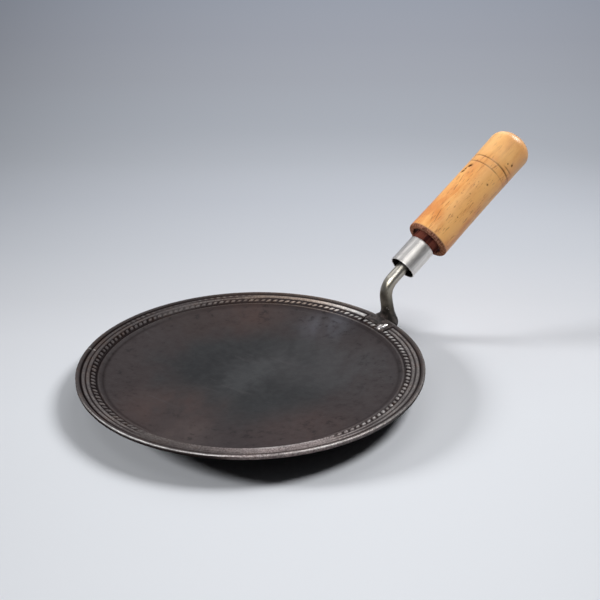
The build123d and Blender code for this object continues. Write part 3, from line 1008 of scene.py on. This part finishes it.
# Its section, as distance from the mouth and radius: down the inside, round the lip and back outside
ferrule_outline = [
    (25.0, 10.35), (12.0, 10.3), (4.0, 10.3), (0.9, 10.3), (0.3, 10.4), (0.05, 10.62), (0.0, 10.8),
    (0.05, 10.98), (0.25, 11.14), (0.6, 11.2), (1.2, 11.16), (2.2, 11.14),
]
ferrule_outline += [(distance, 11.15) for distance in np.linspace(4, 23, 16)]
ferrule_outline += [(24.0, 11.18), (24.6, 11.16), (24.9, 11.02), (25.0, 10.8), (25.0, 10.35)]


def turned(outline, slices, change):
    """Rings of a turned piece, from (distance from the ferrule's mouth, radius) pairs.
    change is a function for the unevenness of the radius."""
    turns = whole_turn(slices)
    rings = []
    for distance, radius in outline:
        centre = mouth + distance * handle_way
        if radius == 0:
            rings.append(centre[None, :])
            continue
        reach = radius + change(distance, radius, turns)
        rings.append(round_ring(centre, reach, turns, handle_up, sideways))
    return rings


def ferrule_dents(distance, radius, turns):
    flat = 0.05 * np.exp(-((distance - 9) / 3.5) ** 2 - ((turns - 5.6) / 0.35) ** 2)
    return -flat - 0.02 * (1 + np.sin(2 * turns + 0.6)) / 2


shaded_inside = [np.full(ferrule_slices, float(radius < ferrule_middle_radius)) for _, radius in ferrule_outline]
ferrule = skin("ferrule_tube", turned(ferrule_outline, ferrule_slices, ferrule_dents), {"shaded_inside": shaded_inside})


def satin_steel():
    made, tree, shader, position = start_material("satin_steel")
    lines = noise(tree, position, 2400.0, 3.0, 0.6, (0.04, 1, 1), (0, handle_rise, 0))
    bands = noise(tree, position, 420.0, 3.0, 0.6, (0.04, 1, 1), (0, handle_rise, 0))
    smudge = noise(tree, position, 120.0, 4.0)
    colour = tinted(
        tree, mix_colours(tree, spread(tree, bands, 0.35, 0.65), (0.68, 0.655, 0.62), (0.84, 0.81, 0.775)),
        (spread(tree, smudge, 0.55, 0.75, 0.0, 0.30), (0.44, 0.41, 0.375)),
        # The inner wall is painted near black: painted shade inside the tube
        (mark(tree, "shaded_inside"), (0.055, 0.045, 0.04)),
    )
    roughness = spread(tree, lines, 0.3, 0.7, 0.36, 0.44)
    roughness = plus(tree, roughness, spread(tree, smudge, 0.4, 0.7, 0.0, 0.08))
    fill(tree, shader, Base_Color=colour, Metallic=1.0, Roughness=roughness)
    relief(tree, shader, 0.22, 0.0001, (lines, 1.0), (bands, 0.6))
    return made


ferrule.data.materials.append(satin_steel())
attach(ferrule, "root")
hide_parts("ferrule")


# Wooden grip: turned from one billet of light wood, varnished, with two burnt rings.
# Its front is sunk round the collar and stained, the collar painted near black as stain with painted shade of
# the sink, and its end is round.
grip_front, dome_start, dome_length = 30.5, 137.0, 12.0
grip_radius_front, grip_radius_back, grip_waist = 18.2, 18.0, 0.5
collar_radius = 11.0
# Burnt lines: place, degrees from and to, width, depth, darkness, lean in mm over the arc
burnt_lines = (
    (106.3, -64, 52, 0.44, 0.30, 0.95, 0.0),
    (106.3, -180, 180, 0.35, 0.15, 0.35, 0.0),
    (112.8, -180, 180, 0.48, 0.36, 0.92, 0.0),
    (112.8, -100, -42, 0.62, 0.45, 1.0, 0.0),
    (116.8, -100, -68, 0.45, 0.22, 0.80, -0.8),
    (145.6, -130, 75, 0.40, 0.08, 0.75, 0.0),
)
# Knots and chips: place, degrees, length, width, depth
scars = ((93.8, 22.0, 2.2, 2.6, 0.5), (100.4, 12.0, 2.6, 3.0, 0.6), (97.0, 19.0, 1.6, 1.5, 0.3))
# Small dark dots: place, degrees, size
dots = ((94.1, -66.4, 1.0), (121.7, -82.7, 1.3), (78.2, -47.9, 0.5), (56.4, -65.0, 0.6), (119.6, -70.0, 0.8))
# Cracks: from and to, each as place and degrees
cracks = (((90.1, 4.3), (80.7, -2.5)), ((54.4, -17.4), (39.5, -27.9)), ((71.4, -84.7), (66.0, -86.5)),
          ((46.0, -66.0), (41.0, -64.0)))


def grip_radius(distance):
    share = (distance - grip_front) / (dome_start - grip_front)
    straight = grip_radius_front + (grip_radius_back - grip_radius_front) * share
    return straight - 4 * grip_waist * share * (1 - share)


# The front, sunk round the collar, as (distance, radius) from the hole in the spigot to the front edge
front_outline = [
    (9.0, 0), (9.0, 7.0), (9.0, 10.0), (9.3, 10.2), (12, 10.25), (24, 10.25), (24.95, 10.3), (25.02, 10.95),
]
front_outline += [(distance, collar_radius) for distance in (26, 27, 28, 29, 30, 31, 31.9)]
front_outline += [
    (31.98, 11.15), (32.0, 11.6), (32.0, 12.6), (31.95, 13.1), (31.6, 13.45), (30.9, 13.55), (30.6, 13.75),
    (30.5, 14.1), (30.5, 15.4), (30.5, 16.5), (30.55, 16.95), (30.75, 17.4), (31.1, 17.75), (31.6, 18.0),
    (32.2, 18.12),
]
body_start, body_step = 33.0, 0.6


def grip_outline():
    """(distance, radius) from the hole in the spigot, over the front and down to the round end."""
    line = list(front_outline)
    line += [(distance, grip_radius(distance)) for distance in np.arange(body_start, dome_start, body_step)]
    for turn in np.linspace(0.02, 1, 34) * math.pi / 2:
        radius = grip_radius_back * max(0.0, math.cos(turn)) ** 0.95
        line.append((dome_start + dome_length * math.sin(turn) ** 0.96, radius))
    line[-1] = (dome_start + dome_length, 0)
    return line


def grip_marks(distance, turns):
    """(depth, burnt, dark) of lines, scars and cracks at a distance along the grip, for an array of turns."""
    depth, burnt, dark = np.zeros((3, len(turns)))
    degrees = (np.degrees(turns) + 180) % 360 - 180

    def arc_from(angle):
        return np.radians((degrees - angle + 180) % 360 - 180) * grip_radius_back

    for number, (place, start, end, width, deep, darkness, lean) in enumerate(burnt_lines):
        reach = between(degrees, start, end, 14) if end - start < 360 else 1.0
        lie = place + lean * (degrees - start) / (end - start) + 0.12 * np.sin(turns * 2 + number)
        line = np.exp(-((distance - lie) / width) ** 2) * reach
        depth = np.maximum(depth, deep * line)
        burnt = np.maximum(burnt, darkness * line * (0.8 + 0.2 * np.sin(turns * 5 + 2)))
    for place, angle, long, wide, deep in scars:
        arc = arc_from(angle)
        off = ((distance - place) / long) ** 2 + ((arc + 0.35 * (distance - place)) / wide) ** 2
        ragged = 1 + 0.35 * np.sin(arc * 2.7 + distance * 1.9) + 0.2 * np.sin(arc * 5.1 - distance * 3.3)
        hole = np.exp(-off * 1.6 * ragged)
        depth += deep * hole
        dark = np.maximum(dark, np.clip(hole * 1.5 - 0.25, 0, 1))
    for place, angle, size in dots:
        hole = np.exp(-2 * (((distance - place) / size) ** 2 + (arc_from(angle) / size) ** 2))
        depth += 0.12 * hole
        dark = np.maximum(dark, np.clip(1.3 * hole, 0, 1))
    for (start, start_turn), (end, end_turn) in cracks:
        share = (distance - start) / (end - start)
        if 0 <= share <= 1:
            line = np.exp(-(arc_from(start_turn + (end_turn - start_turn) * share) / 0.22) ** 2)
            line = line * math.sin(math.pi * share) ** 0.5
            depth += 0.15 * line
            dark = np.maximum(dark, 0.8 * line)
    return depth, burnt, dark


def is_outside(distance, radius):
    return distance > 32.5 and radius > 4


def grip_change(distance, radius, turns):
    if not is_outside(distance, radius):
        return 0 * turns
    return -grip_marks(distance, turns)[0] - 0.03 * np.abs(np.sin(turns * 2 + 0.4 + distance * 0.02))


grip_slices = 324
grip_turns = whole_turn(grip_slices)
grip_colours = {"burnt": [], "dark": []}
for distance, radius in grip_outline():
    burnt, dark = np.zeros((2, grip_slices))
    if is_outside(distance, radius):
        burnt, dark = grip_marks(distance, grip_turns)[1:]
    count = 1 if radius == 0 else grip_slices
    grip_colours["burnt"].append(burnt[:count])
    grip_colours["dark"].append(dark[:count])
grip = skin("wooden_grip_turned", turned(grip_outline(), grip_slices, grip_change), grip_colours)


# Distances in metres from the ferrule's mouth, for the finish: where the sunk front, stained and painted with
# shade, ends, and where the wood is lighter beyond the rings and pinkish at the tip. The collar's edge is a
# radius.
front_ends, lighter_ends, tip_ends = (0.0338, 0.0322), (0.112, 0.122), (0.1446, 0.1476)
collar_edge = (0.0138, 0.0128)


def varnished_wood():
    made, tree, shader, position = start_material("varnished_wood")
    burnt_mark, dark_mark = mark(tree, "burnt"), mark(tree, "dark")
    local = from_place(tree, position, Vector(mouth * mm))
    straight = put(tree, "Mapping", Vector=local, Rotation=(0, handle_rise, 0)).outputs[0]
    axes = put(tree, "SeparateXYZ", Vector=straight)
    along = axes.outputs["X"]
    across = put(tree, "CombineXYZ", X=0.0, Y=axes.outputs["Y"], Z=axes.outputs["Z"]).outputs[0]
    patches = noise(tree, straight, 62.0, 5.0, 0.62, (0.42, 1, 1))
    tones = noise(tree, straight, 30.0, 3.0, 0.5, (0.5, 1, 1))
    figure = noise(tree, straight, 230.0, 5.0, 0.7, (0.12, 1, 1))
    flecks = noise(tree, straight, 620.0, 3.0, 0.6, (0.20, 1, 1))
    dashes = noise(tree, straight, 330.0, 4.0, 0.7, (0.22, 1, 1))
    pores = noise(tree, straight, 1900.0, 3.0, 0.6, (0.10, 1, 1))

    front = times(tree, spread(tree, along, *front_ends), spread(tree, patches, 0.3, 0.6, 0.8, 0.98))
    raw_end = mix_colours(tree, spread(tree, flecks, 0.42, 0.58), (0.10, 0.040, 0.028), (0.27, 0.125, 0.085))
    collar = spread(tree, length_of(tree, across), *collar_edge)
    collar = times(tree, collar, spread(tree, along, 0.034, 0.0325))
    # The collar is nearly black: dark stain with painted shade of the recess
    stain_and_shade = mix_colours(tree, spread(tree, figure, 0.4, 0.6), (0.035, 0.010, 0.009), (0.13, 0.040, 0.028))
    colour = tinted(
        tree, mix_colours(tree, spread(tree, patches, 0.38, 0.62), (0.62, 0.235, 0.060), (0.78, 0.39, 0.120)),
        (spread(tree, tones, 0.50, 0.66, 0.0, 0.55), (0.77, 0.42, 0.150)),
        (spread(tree, tones, 0.44, 0.32, 0.0, 0.55), (0.56, 0.19, 0.05)),
        (spread(tree, figure, 0.54, 0.67, 0.0, 0.50), (0.44, 0.150, 0.04)),
        (spread(tree, figure, 0.46, 0.33, 0.0, 0.60), (0.82, 0.46, 0.170)),
        (spread(tree, flecks, 0.58, 0.68, 0.0, 0.65), (0.30, 0.10, 0.035)),
        (spread(tree, dashes, 0.66, 0.74, 0.0, 0.75), (0.20, 0.065, 0.03)),
        (spread(tree, pores, 0.62, 0.75, 0.0, 0.25), (0.40, 0.16, 0.05)),
        (spread(tree, along, *lighter_ends, 0.0, 0.40), (0.86, 0.52, 0.21)),
        (spread(tree, along, *tip_ends, 0.0, 0.5), (0.84, 0.46, 0.32)),
        (front, raw_end),
        (collar, stain_and_shade),
        (times(tree, burnt_mark, 0.92), (0.065, 0.022, 0.012)),
        (dark_mark, (0.050, 0.014, 0.006)),
    )
    roughness = plus(tree, spread(tree, patches, 0.3, 0.7, 0.38, 0.50), times(tree, dark_mark, 0.3))
    roughness = plus(tree, roughness, spread(tree, along, 0.0335, 0.0315, 0.0, 0.3), clamp=True)
    damaged = times(tree, calculate(tree, "MAXIMUM", dark_mark, burnt_mark), 0.18)
    varnish = minus(tree, spread(tree, along, 0.0315, 0.0335, 0.0, 0.18), damaged, clamp=True)
    fill(tree, shader, Base_Color=colour, Roughness=roughness, Coat_Weight=varnish, Coat_Roughness=0.30,
         Specular_IOR_Level=spread(tree, varnish, 0.0, 0.18, 0.0, 0.45))
    relief(tree, shader, 0.35, 0.0003, (figure, 0.5), (pores, -0.2), (patches, 0.4), (flecks, -0.4))
    return made


grip.data.materials.append(varnished_wood())
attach(grip, "root")
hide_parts("wooden_grip")


# Tang insert: plain turned steel sleeve in the spigot that the rod screws into.
# It is deep in the ferrule and keeps its CAD shape.
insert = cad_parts["tang_insert"]
turned_steel = weld_metal("turned_steel", (0.46, 0.45, 0.43), (0.34, 0.33, 0.31), 0.30)
for material_slot in insert.material_slots:
    material_slot.material = turned_steel

# The front softbox lights the pieces and nothing else
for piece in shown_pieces():
    lit_by_front.objects.link(piece)
